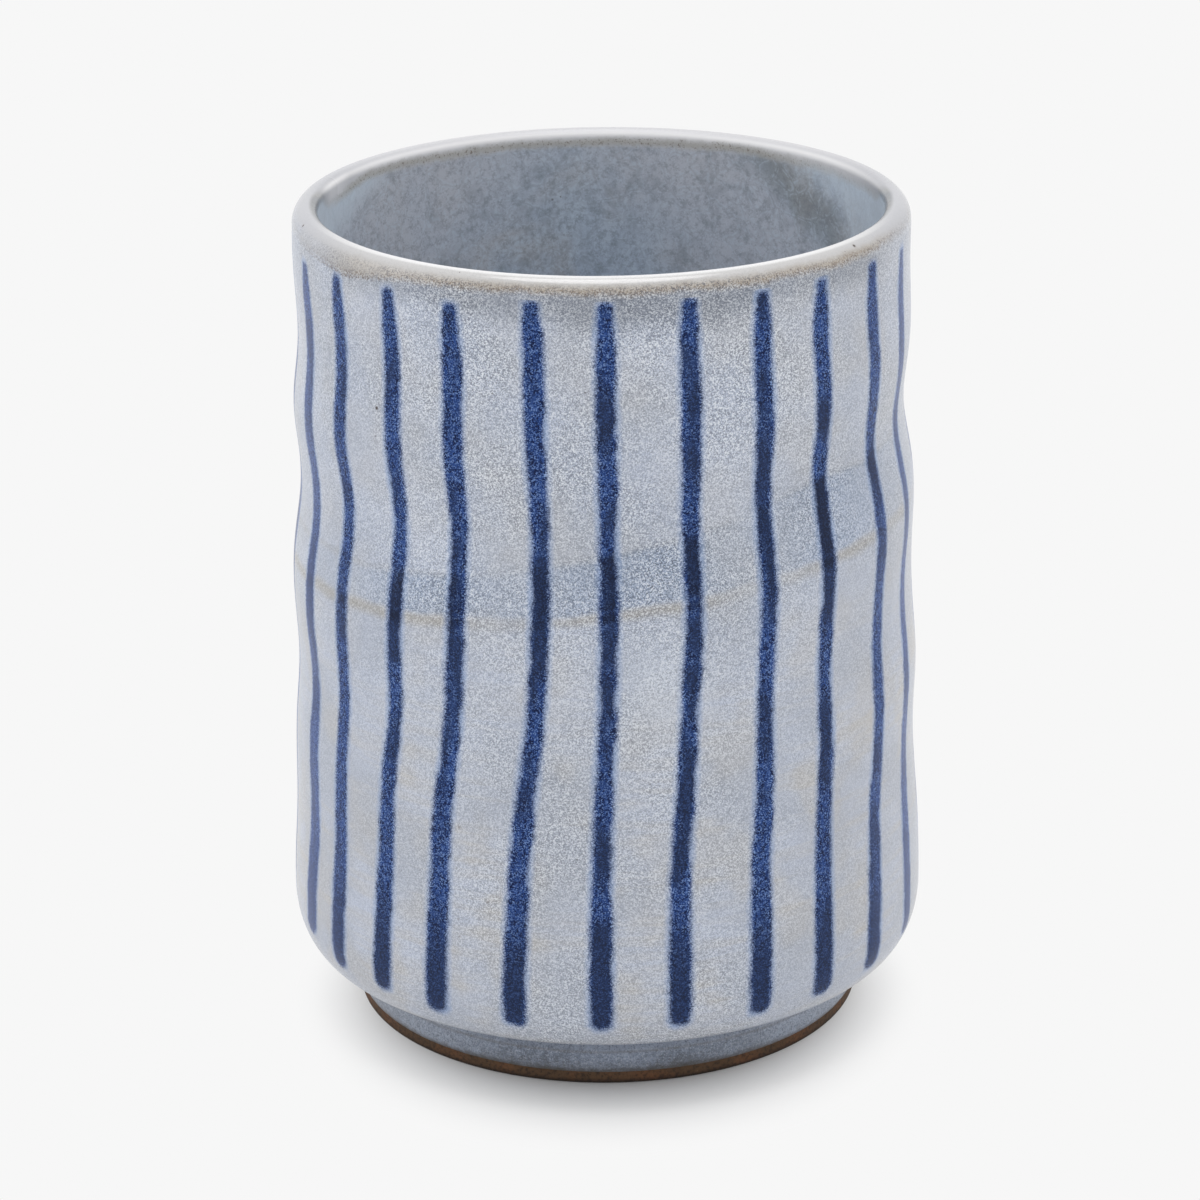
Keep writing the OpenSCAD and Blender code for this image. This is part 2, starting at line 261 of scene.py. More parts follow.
def make_wall_coat():
    """The outer glaze: out from the foot's neck, round the corner, up the grooved wall and back behind it."""
    turns = np.linspace(0, 2 * np.pi, COLUMNS, endpoint=False)
    corner = np.sin(np.linspace(np.pi / 2, 0, CORNER_ROWS, endpoint=False))
    heights = np.concatenate([BELLY_Z - CORNER_H * corner, np.linspace(BELLY_Z, LIP_Z, WALL_ROWS)])
    back = np.linspace(LIP_Z, BELLY_Z, BACK_ROWS)
    front = [around(turns, FOOT_NECK_R, np.full(COLUMNS, FOOT_H))]
    front += [around(turns, wall_r(turns, np.full(COLUMNS, z)), z) for z in heights]
    behind = [around(turns, wall_r(turns, np.full(COLUMNS, z)) - GLAZE_T, z) for z in back]
    behind_corner = arc(CORNER_R, BELLY_Z, CORNER_W - GLAZE_T, CORNER_H - GLAZE_T, -45, -90, 1)
    behind += [around(turns, r, np.full(COLUMNS, z)) for r, z in behind_corner]
    behind.append(around(turns, FOOT_NECK_R, np.full(COLUMNS, UNDER_Z)))
    rings = np.stack(front + behind)
    along = spread(rings, range(len(front), len(rings)))
    return solid("wall_glaze", rings, along, np.linspace(0, 1, COLUMNS + 1))


def make_lip_coat():
    """The coat that rounds over the lip, from the neck outside to just under the mouth inside."""
    low_in = inside_at(LIP_Z)
    shown = arc(CROWN_R, LIP_Z, LIP_OUT, CUP_H - LIP_Z, 0, 90, 22)
    shown += arc(CROWN_R, MOUTH_Z, LIP_IN, LIP_IN, 90, 180, 16)[1:]
    shown += [(inside_at(MOUTH_Z - (MOUTH_Z - LIP_Z) / 2), MOUTH_Z - (MOUTH_Z - LIP_Z) / 2), (low_in, LIP_Z)]
    behind = [(low_in + GLAZE_T, LIP_Z)]
    behind += arc(CROWN_R, MOUTH_Z, LIP_IN - GLAZE_T, LIP_IN - GLAZE_T, 180, 90, 6)
    behind += arc(CROWN_R, LIP_Z, LIP_OUT - GLAZE_T, CUP_H - LIP_Z - GLAZE_T, 90, 0, 6)[1:]
    return turned("lip_glaze_coat", shown + behind, range(len(shown), len(shown + behind)))


def make_inside_coat():
    """The glaze inside: behind it up from the floor's middle, then down the wall and in over the floor."""
    round_r = INSIDE_R - INSIDE_ROUND
    behind = lined((round_r / 3, INNER_FLOOR_Z), (round_r, INNER_FLOOR_Z), 2)
    behind += arc(round_r, INSIDE_Z, INSIDE_ROUND + GLAZE_T, INSIDE_ROUND + GLAZE_T, -90, 0, 10)
    behind.append((inside_at(LIP_Z) + GLAZE_T, LIP_Z))
    shown = lined((inside_at(LIP_Z), LIP_Z), (INSIDE_R, INSIDE_Z), 60)
    shown += arc(round_r, INSIDE_Z, INSIDE_ROUND, INSIDE_ROUND, 0, -90, 30)
    shown += lined((round_r, FLOOR_Z), (0, FLOOR_Z), 12)[1:]
    return turned("inside_glaze_coat", behind + shown, range(len(behind)), (INNER_FLOOR_Z, FLOOR_Z))


def make_foot():
    """The turned foot ring, with eased edges on its standing face and a shoulder outside."""
    face = lined((WELL_R + FOOT_EDGE, 0), (FOOT_R - FOOT_EDGE, 0), 12)
    outline = face + arc(FOOT_R - FOOT_EDGE, FOOT_EDGE, FOOT_EDGE, FOOT_EDGE, -90, 0, 8)
    outline += lined((FOOT_R, 2 * FOOT_EDGE), (FOOT_R, SHOULDER_Z), 10)
    outline += [(FOOT_R, SHOULDER_Z), (FOOT_NECK_R, SHOULDER_Z + SHOULDER_H), (FOOT_NECK_R, UNDER_Z)]
    outline += [(WELL_R - WELL_DRAFT, UNDER_Z)]
    outline += lined((WELL_R - WELL_DRAFT / 2, UNDER_Z / 2), (WELL_R, FOOT_EDGE), 6)
    outline += arc(WELL_R + FOOT_EDGE, FOOT_EDGE, FOOT_EDGE, FOOT_EDGE, 180, 262, 7)
    return turned("foot_ring_turned", outline)


def make_foot_coat():
    """The glaze on the outside of the foot: a feathered lower edge, the flank, the shoulder and the neck."""
    outside = FOOT_R + GLAZE_T
    neck = FOOT_NECK_R + GLAZE_T
    feather = [
        (FOOT_R + GLAZE_T * math.sin(share * np.pi / 2), BARE_H + FEATHER_H * share)
        for share in np.linspace(0, 1, 8)
    ]
    flank = lined((outside, BARE_H + FEATHER_H * 1.1), (outside, SHOULDER_Z - FOOT_EDGE / 2), 6)
    shoulder = [
        (outside - GLAZE_T * share / 8, SHOULDER_Z - FOOT_EDGE / 2 * (1 - share))
        for share in np.linspace(0, 1, 4)
    ]
    slope = lined((outside - GLAZE_T / 4, SHOULDER_Z + SHOULDER_H / 4), (neck, SHOULDER_Z + SHOULDER_H), 4)
    top = lined((neck, SHOULDER_Z + SHOULDER_H), (neck, FOOT_H), 4) + [(neck, FOOT_H)]
    shown = feather + flank + shoulder + slope + top
    behind = [(FOOT_NECK_R, FOOT_H), (FOOT_NECK_R, SHOULDER_Z + SHOULDER_H), (FOOT_R, SHOULDER_Z)]
    return turned("foot_glaze_coat", shown + behind, range(len(shown), len(shown + behind)))


def make_well_coat():
    """The glaze in the hollow of the foot: its ceiling, with the turning tool's rings, and its side."""
    side_z = BARE_H + FEATHER_H
    side_r = WELL_R - WELL_DRAFT * (side_z - FOOT_EDGE) / (UNDER_Z - FOOT_EDGE)
    bare_r = WELL_R - WELL_DRAFT * (BARE_H - FOOT_EDGE) / (UNDER_Z - FOOT_EDGE)
    ceiling = [
        (r, FOOT_H - GLAZE_T * 0.25 * (1 + math.cos(r / TOOL_RING_STEP)) / 2)
        for r in np.linspace(1 * MM, WELL_TOP_R - 3 * GLAZE_T, 60)
    ]
    fillet = arc(WELL_TOP_R - 3 * GLAZE_T, FOOT_H - 2 * GLAZE_T, 2 * GLAZE_T, 2 * GLAZE_T, 80, 0, 8)
    side = lined((WELL_TOP_R - GLAZE_T, FOOT_H - 2.4 * GLAZE_T), (side_r - GLAZE_T, side_z), 8)
    edge = [(side_r - GLAZE_T, side_z), (bare_r, BARE_H)]
    shown = ceiling + fillet + side + edge
    behind = lined((WELL_TOP_R, UNDER_Z), (WELL_TOP_R / 2, UNDER_Z), 2)
    hidden = range(len(shown), len(shown + behind))
    return turned("well_glaze_coat", shown + behind, hidden, (FOOT_H, UNDER_Z))


def stroke_path(node):
    """Heights, angles and half widths along a brush stroke, read row by row from its CAD solid."""
    points = np.array([v.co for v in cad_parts[node].data.vertices])
    points = points[np.argsort(points[:, 2])]
    breaks = np.flatnonzero(np.diff(points[:, 2]) > 0.1 * MM) + 1
    rows = []
    for row in np.split(points, breaks):
        across = np.unwrap(np.sort(np.arctan2(row[:, 1], row[:, 0])))
        if across[-1] - across[0] > np.pi:
            across = np.sort(np.mod(np.arctan2(row[:, 1], row[:, 0]), 2 * np.pi))
        width = (across[-1] - across[0]) * np.hypot(row[:, 0], row[:, 1]).mean()
        rows.append((row[:, 2].mean(), (across[0] + across[-1]) / 2, width / 2))
    heights, angles, halves = np.array(rows).T
    return heights, np.unwrap(angles), halves


def make_stroke(number):
    """One brush stroke: a thin film let into the wall's glaze, which keeps the way to the pigment's edge."""
    heights, angles, halves = stroke_path(f"stripe_{number:02d}")
    low, high = heights[0], heights[-1]
    even = np.linspace(0, 1, STROKE_ROWS)
    crowded = (even + (1 - np.cos(np.pi * even)) / 2) / 2
    z = (low - BLEED) + (min(high + BLEED, LIP_Z) - low + BLEED) * crowded
    middle = eased(heights, angles, z)
    half = eased(heights, halves, np.clip(z, low + FOOT_WIDENS, high - TOP_WIDENS)) + SPREAD
    half += eased(*zip(*FULLNESS), np.clip((z - low) / (high - low), 0, 1))
    side = np.linspace(-1, 1, STROKE_COLUMNS + 1)
    offset = side * (half + BLEED)[:, None]
    corner = END_ROUND_SHARE * half[:, None]
    over = np.abs(offset) - half[:, None] + corner
    past = np.maximum(low - z, z - high)[:, None] + corner
    edge = np.hypot(np.maximum(over, 0), np.maximum(past, 0)) + np.minimum(np.maximum(over, past), 0) - corner
    tips = np.clip(np.minimum(z - z[0], z[-1] - z) / BLEED, 0, 1)
    dome = (1 - side**6) * (1 - (1 - tips[:, None]) ** 4)
    turn = middle[:, None] + offset / BELLY_R
    surface = wall_r(turn, np.broadcast_to(z[:, None], turn.shape))
    front = around(turn, surface - STROKE_SINK + (STROKE_SINK + STROKE_PROUD) * dome, z[:, None])
    back = around(turn[:, [-1, 0]], surface[:, [-1, 0]] - STROKE_BACK, z[:, None])
    rings = np.concatenate([front, back], axis=1)
    share = np.clip((z - low) / (high - low), 0, 1)[:, None] + np.zeros(rings.shape[:2])
    values = {
        "edge_mm": np.concatenate([edge, edge[:, [-1, 0]]], axis=1) / MM,
        "along": share,
    }
    across = np.concatenate([np.linspace(0, 0.94, STROKE_COLUMNS + 1), [0.96, 0.98, 1]])
    along = np.append((z - z[0]) / (z[-1] - z[0]), 1) * 0.98 + 0.01
    poles = [rings[0].mean(axis=0), rings[-1].mean(axis=0)]
    return solid(f"brush_stroke_{number:02d}", rings, along, across, poles, values)


class Wire:
    """A node's output. Python's operators on a number's wire add Math nodes, so a pattern reads as a sum."""

    def __init__(self, recipe, socket):
        self.recipe = recipe
        self.socket = socket

    def out(self, name):
        """Another output of the same node."""
        return Wire(self.recipe, self.socket.node.outputs[name])

    def __add__(self, other):
        return self.recipe.maths("ADD", self, other)

    def __radd__(self, other):
        return self.recipe.maths("ADD", other, self)

    def __sub__(self, other):
        return self.recipe.maths("SUBTRACT", self, other)

    def __rsub__(self, other):
        return self.recipe.maths("SUBTRACT", other, self)

    def __mul__(self, other):
        return self.recipe.maths("MULTIPLY", self, other)

    def __rmul__(self, other):
        return self.recipe.maths("MULTIPLY", other, self)

    def __truediv__(self, other):
        return self.recipe.maths("DIVIDE", self, other)


class Recipe:
    """A tree of shader nodes under construction. Places in it are in millimetres on the cup."""

    def __init__(self, tree):
        self.tree = tree
        tree.nodes.clear()

    def node(self, kind, settings, sockets, output=0):
        """Adds a node: its settings first, then the values or wires of its sockets. Returns one output."""
        made = self.tree.nodes.new(kind)
        for name, value in settings.items():
            setattr(made, name, value)
        for name, value in sockets.items():
            if isinstance(value, Wire):
                self.tree.links.new(value.socket, made.inputs[name])
            else:
                made.inputs[name].default_value = value
        return Wire(self, made.outputs[output]) if made.outputs else None

    def maths(self, operation, *values):
        return self.node("ShaderNodeMath", {"operation": operation}, dict(enumerate(values)))

    def mix(self, a, b, share):
        """Colour a, going over to colour b as the share rises to 1."""
        return self.node("ShaderNodeMix", {"data_type": "RGBA"}, {0: share, 6: a, 7: b}, 2)

    def size_of(self, value):
        """The value without its sign."""
        return self.maths("ABSOLUTE", value)

    def step(self, value, low, high):
        """0 below low, 1 above high, and smooth between them."""
        sockets = {"Value": value, "From Min": low, "From Max": high}
        return self.node("ShaderNodeMapRange", {"interpolation_type": "SMOOTHSTEP"}, sockets)

    def hump(self, value, middle, width):
        """1 at the middle, falling smoothly to 0 at a width on both sides."""
        return 1 - self.step(self.size_of(value - middle), 0.0, width)

    def place(self, stretch=(1, 1, 1)):
        """Where the surface is, in millimetres, with each axis multiplied by a stretch."""
        where = self.node("ShaderNodeTexCoord", {}, {}, "Object")
        scale = tuple(s / MM for s in stretch)
        return self.node("ShaderNodeVectorMath", {"operation": "MULTIPLY"}, {0: where, 1: scale})

    def parts(self, vector):
        """The X, Y and Z of a vector."""
        x = self.node("ShaderNodeSeparateXYZ", {}, {0: vector})
        return x, x.out("Y"), x.out("Z")

    def noise(self, at, size, detail=2.0, rough=0.5, warp=0.0):
        """Cloudy noise from 0 to 1, with patches of about a size in millimetres."""
        sockets = {"Vector": at, "Scale": 1 / size, "Detail": detail, "Roughness": rough, "Distortion": warp}
        return self.node("ShaderNodeTexNoise", {}, sockets)

    def grain(self, at, size):
        """Fine grain from 0 to 1: cells of a size in millimetres, each of its own tone, over cloudy noise."""
        cell = self.node("ShaderNodeTexVoronoi", {}, {"Vector": at, "Scale": 1 / size})
        tone, _, _ = self.parts(cell.out("Color"))
        return 0.75 * self.noise(at, size * 1.15, 1.0, 0.7) + 0.25 * tone

    def specks(self, at, spacing, radius, share, blur=0.5):
        """Round specks: a share of the cells of a spacing holds one, of at most a radius, in millimetres."""
        cell = self.node("ShaderNodeTexVoronoi", {}, {"Vector": at, "Scale": 1 / spacing})
        pick, size, _ = self.parts(cell.out("Color"))
        chosen = self.step(pick, 1 - share - 0.01, 1 - share + 0.01)
        reach_of = (0.35 + 0.65 * size) * (radius / spacing)
        return chosen * (1 - self.step(cell / reach_of, 1 - blur, 1.0))

    def attribute(self, name):
        return self.node("ShaderNodeAttribute", {"attribute_name": name}, {}, "Fac")

    def surface(self, colour, roughness, height_mm, specular=0.5):
        """Ends the tree in a plain glossy or matt surface with a bump of that height in millimetres."""
        normal = self.node("ShaderNodeBump", {}, {"Strength": 1.0, "Distance": MM, "Height": height_mm})
        sockets = {
            "Base Color": colour, "Roughness": roughness, "Normal": normal, "Specular IOR Level": specular,
        }
        shader = self.node("ShaderNodeBsdfPrincipled", {}, sockets)
        self.node("ShaderNodeOutputMaterial", {}, {"Surface": shader})


def rgb(red, green, blue):
    """A colour as the shader's sockets take it."""
    return (red, green, blue, 1.0)


def finish(name, recipe_of):
    """A new material, whose nodes recipe_of puts in."""
    material = bpy.data.materials.new(name)
    material.use_nodes = True
    recipe_of(Recipe(material.node_tree))
    return material


# Colours of the glazes and clays, and of the painted light and shade on them, as linear light
COOL_GREY = rgb(0.485, 0.52, 0.60)
LAVENDER = rgb(0.57, 0.62, 0.74)
MILKY_BLUE = rgb(0.66, 0.71, 0.81)
CLEAR_BLUE = rgb(0.47, 0.53, 0.67)
WARM_BEIGE = rgb(0.57, 0.55, 0.525)
PAINTED_SHADE_GREY = rgb(0.35, 0.365, 0.40)
FLECK_WHITE = rgb(0.92, 0.95, 0.99)
FLECK_GREY = rgb(0.12, 0.135, 0.17)
IRON = rgb(0.05, 0.035, 0.03)
LIP_GREY = rgb(0.26, 0.285, 0.335)
TAN = rgb(0.43, 0.365, 0.285)
LIP_BEIGE = rgb(0.50, 0.46, 0.415)
RUST = rgb(0.15, 0.095, 0.06)
LIP_HIGHLIGHT = rgb(0.83, 0.83, 0.835)
LIP_WHITE_AND_SHEEN = rgb(0.58, 0.575, 0.575)
LIP_PALE = rgb(0.47, 0.475, 0.505)
LIP_BACK = rgb(0.60, 0.60, 0.625)
LIT_SLOPE_WHITE = rgb(0.92, 0.91, 0.92)
LIP_SHADE = rgb(0.15, 0.15, 0.15)
OLIVE = rgb(0.45, 0.415, 0.335)
BAND_GREY = rgb(0.25, 0.35, 0.54)
DIP_BROWN = rgb(0.40, 0.36, 0.295)
NAVY = rgb(0.005, 0.012, 0.055)
COBALT = rgb(0.028, 0.075, 0.27)
BLUE_FLECK = rgb(0.33, 0.50, 0.85)
SLATE = rgb(0.016, 0.026, 0.062)
INK_BLACK = rgb(0.006, 0.010, 0.028)
HALO_BLUE = rgb(0.28, 0.40, 0.66)
SIDE_SHEEN_BLUE = rgb(0.09, 0.155, 0.42)
INSIDE_BLUE = rgb(0.50, 0.575, 0.68)
INSIDE_WARM = rgb(0.54, 0.55, 0.575)
INSIDE_PALE = rgb(0.66, 0.75, 0.84)
INSIDE_DARK = rgb(0.24, 0.275, 0.32)
INSIDE_PAINTED_LIGHT = rgb(0.645, 0.66, 0.72)
INSIDE_SHADOW_OLIVE = rgb(0.27, 0.28, 0.28)
FLECK_AND_GLOW_BLUE = rgb(0.80, 0.89, 0.98)
FOOT_DARK = rgb(0.155, 0.185, 0.24)
FOOT_PALE = rgb(0.29, 0.34, 0.44)
FOOT_FLECK_AND_LIGHT = rgb(0.54, 0.59, 0.69)
FOOT_SPECK = rgb(0.08, 0.09, 0.12)
FOOT_THIN_AND_SHADE = rgb(0.11, 0.096, 0.08)
CREASE_SHADE = rgb(0.17, 0.165, 0.17)
WELL_GREY = rgb(0.34, 0.37, 0.43)
WELL_WARM = rgb(0.44, 0.43, 0.41)
BARE_CLAY = rgb(0.115, 0.066, 0.036)
BURNT_CLAY = rgb(0.022, 0.015, 0.012)
ORANGE_CLAY = rgb(0.19, 0.085, 0.04)
PALE_GRIT = rgb(0.24, 0.155, 0.10)

# Strength of each glaze's reflection, as the shader's specular level, and the roughness of the paint
GLAZE_SHINE = 0.22
LIP_SHINE = 0.5
PAINT_SHINE = 0.12
CLAY_SHINE = 0.3
PAINT_ROUGHNESS = 0.26

# From here on, the places and sizes of the patterns are in millimetres.
# The line where the lower dip of glaze ends: its height on the axis, its rise along X and Y, how far it
# strays, and how far the upper dip goes past it, which grows along X
DIP_Z = 62.4
DIP_RISE_X = 0.107
DIP_RISE_Y = 0.017
DIP_STRAY = 1.1
DIP_OVERLAP = 6.9
DIP_OVERLAP_RISE = 0.08

# Heights over which the outer glaze, its painted shade under the corner and its painted highlight on the lip
# change
CORNER_SHADE_Z = (8.0, 13.5)
LOWER_WALL_Z = (38.0, 66.0)
UPPER_WALL_Z = (60.0, 88.0)
LIP_GREY_Z = (94.6, 98.0)
LIP_FLANK_Z = (97.9, 98.95)
LIP_CROWN_Z = (98.78, 99.68)
LIP_SMOOTH_Z = (98.9, 99.5)
LIP_HIGHLIGHT_Z = (99.84, 99.98)

# Heights over which the glaze inside the lip changes, with its painted light on the slope, its painted shade at
# the lip's ends and the top of the painted glow inside
INNER_WHITE_Z = (97.3, 99.35)
INNER_LIT_SLOPE_Z = (99.45, 99.95)
END_SHADE_Z = (98.5, 99.3)
GLOW_END_Z = (98.3, 99.1)

# Distances from the middle, to the left, the right or both sides and along Y, over which glazes and their
# painted light and shade change
FLANKS_X = (8.0, 22.0)
CALM_X = (14.0, 33.0)
WARM_RIGHT_X = (18.0, 30.0)
BAND_LEFT_X = (22.0, 30.0)
BAND_BACK_Y = (5.0, 25.0)
BAND_RIGHT_X = (25.0, 33.0)
PAINT_SHEEN_SIDES_X = (29.0, 37.0)
FOOT_LIT_SIDES_X = (8.0, 24.0)

# Where the lip's tan and grey are centred, and over which distances from there they fade
LIP_TAN_X = 1
LIP_TAN_FADE = (27.5, 35.0)
LIP_GREY_X = 4
LIP_GREY_FADE = (5.0, 24.0)
# The left end of the tan band, where it climbs, and where it goes over to beige
LIP_LEFT = (-29.0, 9.0)
LIP_BEIGE_X = (14.0, 27.0)
# The lip's two ends, its right and its left side, the stretch past its left end, and the way to its back
LIP_ENDS_X = (29.0, 32.0)
LIP_ENDS_Y = (0.0, 7.0)
LIP_RIGHT_X = (16.0, 30.0)
LIP_LEFT_X = (29.5, 32.5)
FAR_LEFT_X = (28.0, 31.5)
FAR_LEFT_Y = (3.5, 9.0)
LIP_BACK_Y = (2.0, 22.0)

# The painted light inside: the middle of its shading along X, how much a millimetre of height counts in it, and
# over which of its values the painted light zone begins and ends, the olive line of painted shadow lies, and
# the painted blue glow begins
INSIDE_MIDDLE_X = -4
INSIDE_RISE = 0.9
INSIDE_LIGHT_FROM = (80.0, 98.0)
INSIDE_LIGHT_TO = (107.0, 112.0)
INSIDE_SHADOW_EDGE = (113.0, 5.5)
INSIDE_GLOW = (114.5, 120.5)
INSIDE_LEFT_X = (18.0, 26.0)

# A milky patch under the band in front: the middle and width of its share along X and along Z
MILKY_X = (6.2, 8.0)
MILKY_Z = (53.0, 9.0)
FRONT_Y = (-20.0, 0.0)

# Sizes of the finest grain
WALL_GRAIN = 0.145
LIP_GRAIN = 0.18
INSIDE_GRAIN = 0.2
FOOT_GRAIN = 0.17

# Specks: their spacing, largest radius, share of the places that hold one, and some have a blur
RUST_RINGS = (4.2, 0.46, 0.28, 0.9)
IRON_SPOTS = (4.2, 0.28, 0.28)
IRON_DUST = (1.7, 0.15, 0.18)
INSIDE_SPOTS = (5.5, 0.34, 0.2)
INSIDE_DUST = (2.4, 0.16, 0.14)
WELL_SPOTS = (3.4, 0.3, 0.25)
CRAZE_SIZE = 2.9


def dip_level(r):
    """Millimetres over the line where the lower dip of glaze ends."""
    x, y, z = r.parts(r.place())
    ragged = r.noise(r.place((1, 1, 1.6)), 5.0, 3.0) - 0.5
    return z - DIP_Z - DIP_RISE_X * x - DIP_RISE_Y * y - DIP_STRAY * ragged


def band_reach(r):
    """How far the overlap of the dips shows: in full in front, and less round the cup's sides."""
    x, y, _ = r.parts(r.place())
    left = r.step(0.0 - x, *BAND_LEFT_X) * (1 - r.step(y, *BAND_BACK_Y))
    return (1 - 0.75 * left) * (1 - 0.5 * r.step(x, *BAND_RIGHT_X))


def dip_band(r):
    """Shares of the band where the two dips of glaze overlap, and of its brown lines below and above."""
    above = dip_level(r)
    slow = r.noise(r.place(), 22.0, 1.0)
    x, _, _ = r.parts(r.place())
    top = DIP_OVERLAP * (0.7 + 0.6 * slow) + DIP_OVERLAP_RISE * x
    fade = r.step(r.noise(r.place((1, 1, 0.3)), 16.0, 1.0), 0.36, 0.6)
    band = r.step(above, -0.1, 0.6) * (1 - r.step(above - top, -1.0, 0.4)) * band_reach(r)
    line = r.hump(above, -0.55, 1.35) + 0.4 * r.hump(above - top, -0.4, 0.8)
    return band * (0.35 + 0.65 * fade), line * (0.25 + 0.75 * fade)


def pale_glaze(r):
    """Colour, roughness and height of the pale glaze outside, with no brushwork, with painted shade under the
    corner and the lip's painted highlight.
    """
    here = r.place()
    x, y, z = r.parts(here)
    clouds = r.noise(here, 13.0, 3.0, 0.55)
    streaks = r.noise(r.place((0.14, 0.14, 1.7)), 2.4, 3.0, 0.6)
    grain = r.grain(here, WALL_GRAIN)
    curd = r.noise(here, 0.5, 3.0, 0.6)
    lower = 1 - r.step(z, *LOWER_WALL_Z)
    band, line = dip_band(r)
    colour = r.mix(COOL_GREY, LAVENDER, r.step(clouds, 0.36, 0.66))
    patches = r.noise(here, 8.0, 2.0)
    colour = r.mix(colour, CLEAR_BLUE, (1 - r.step(patches, 0.36, 0.52)) * (0.46 - 0.3 * lower))
    beige = r.step(clouds * 0.45 + streaks * 0.55, 0.47, 0.62) * (0.04 + 0.34 * lower)
    beige = beige + r.step(patches, 0.49, 0.66) * (0.2 + 0.18 * lower) + 0.13 * r.step(x, *WARM_RIGHT_X)
    colour = r.mix(colour, WARM_BEIGE, beige)
    flank = r.step(r.size_of(x), *FLANKS_X)
    # Painted shade under the belly's corner, weaker at the flanks
    colour = r.mix(colour, PAINTED_SHADE_GREY, (1 - r.step(z, *CORNER_SHADE_Z)) * (0.5 - 0.32 * flank))
    milky = r.hump(x, *MILKY_X) * r.hump(z, *MILKY_Z) * (1 - r.step(y, *FRONT_Y))
    colour = r.mix(colour, MILKY_BLUE, milky * 0.7)
    colour = r.mix(colour, DIP_BROWN, line * 0.6)
    colour = r.mix(colour, BAND_GREY, band * 0.5)
    colour, lean = lip_zone(r, colour)
    lively = r.step(r.noise(here, 9.0, 2.0), 0.3, 0.65)
    calm = r.step(r.size_of(x), *CALM_X)
    rich = (0.55 + 0.35 * lively + 0.3 * band) * (1 - 0.4 * calm) * lip_smooth(r)
    rich = rich * (0.88 + 0.24 * r.step(z, *UPPER_WALL_Z) - 0.26 * lower * flank)
    pattern = grain * 0.9 + curd * 0.1
    white = r.step(pattern, 0.52, 0.60) * rich * (1 - 0.72 * lean) * (1 - 0.2 * band)
    dark = (1 - r.step(pattern, 0.40, 0.48)) * rich * (1 + 0.2 * lean + 0.2 * band)
    colour = r.mix(colour, FLECK_WHITE, white * 0.8)
    colour = r.mix(colour, FLECK_GREY, dark * 0.6)
    colour = r.mix(colour, RUST, r.specks(here, *RUST_RINGS) * 0.4)
    colour = r.mix(colour, IRON, r.specks(here, *IRON_SPOTS) * 0.9)
    colour = r.mix(colour, IRON, r.specks(here, *IRON_DUST) * 0.65)
    height = 0.006 * r.noise(here, 1.1, 2.0) + 0.010 * streaks + 0.0015 * grain + 0.012 * clouds
    roughness = 0.20 + 0.10 * curd
    return colour, roughness, height


def lip_smooth(r):
    """1 on the wall, falling to nearly 0 on the crown of the lip, where the glaze has no grain."""
    _, _, z = r.parts(r.place())
    return 1 - 0.85 * r.step(z, *LIP_SMOOTH_Z)


def lip_zone(r, colour):
    """The glaze runs thin round the lip: grey speckle below, a tan band on its flank and white on its crown.

    Gives the colour, and how lean the glaze is. Its white crown carries a painted sheen and a painted highlight
    in front.
    """
    here = r.place()
    x, _, z = r.parts(here)
    ragged = r.noise(here, 1.4, 3.0, 0.65) - 0.5
    slow = r.noise(here, 11.0, 2.0) - 0.5
    full = 1 - r.step(r.size_of(x - LIP_TAN_X), *LIP_TAN_FADE)
    level = z + 0.7 * ragged + 1.2 * slow
    fine = r.grain(here, LIP_GRAIN)
    middle = 1 - r.step(r.size_of(x - LIP_GREY_X), *LIP_GREY_FADE)
    grey = r.step(level + 3.6 * slow + 1.4 * middle, *LIP_GREY_Z) * (0.2 + 0.8 * full)
    grey = grey * (0.8 + 0.2 * middle)
    colour = r.mix(colour, LIP_GREY, grey * (0.74 + 0.5 * slow))
    crown = r.step(level - 0.8 * slow, *LIP_CROWN_Z)
    left = r.hump(x, *LIP_LEFT)
    level = level + 1.3 * left
    flank = r.step(level, *LIP_FLANK_Z)
    tan = flank * (0.3 + 0.7 * full)
    shade = r.mix(TAN, LIP_BEIGE, r.step(0.0 - x, *LIP_BEIGE_X))
    colour = r.mix(colour, shade, tan * (0.85 + 0.4 * ragged))
    border = r.hump(level, 98.65, 0.75) * (1 - r.step(fine, 0.39, 0.49)) * (0.35 + 0.65 * full)
    colour = r.mix(colour, RUST, border * 0.7)
    colour = r.mix(colour, RUST, r.hump(level, 98.2, 0.35) * (1 - r.step(fine, 0.44, 0.54)) * left * 0.8)
    lean = r.maths("MAXIMUM", 0.55 * grey * (1 - tan), flank)
    return r.mix(colour, lip_crown_and_highlight(r), crown * 0.95), lean


def lip_crown_and_highlight(r):
    """The colour of the lip's crown: whiter in front and behind than at the sides, with a painted sheen over
    its front and a painted highlight along its top in front.
    """
    _, y, z = r.parts(r.place())
    front = 1 - r.step(y, -30.0, -8.0)
    # Painted sheen over the front of the crown, and a painted highlight along its top there
    white = r.mix(r.mix(LIP_PALE, LIP_WHITE_AND_SHEEN, front), LIP_HIGHLIGHT, front * r.step(z, *LIP_HIGHLIGHT_Z))
    return r.mix(white, LIP_BACK, r.step(y, 4.0, 26.0))


def lip_ends(r):
    """1 at the left and right ends of the lip, where the glaze inside comes up to its crown."""
    x, y, _ = r.parts(r.place())
    return r.step(r.size_of(x), *LIP_ENDS_X) * (1 - r.step(y, *LIP_ENDS_Y))


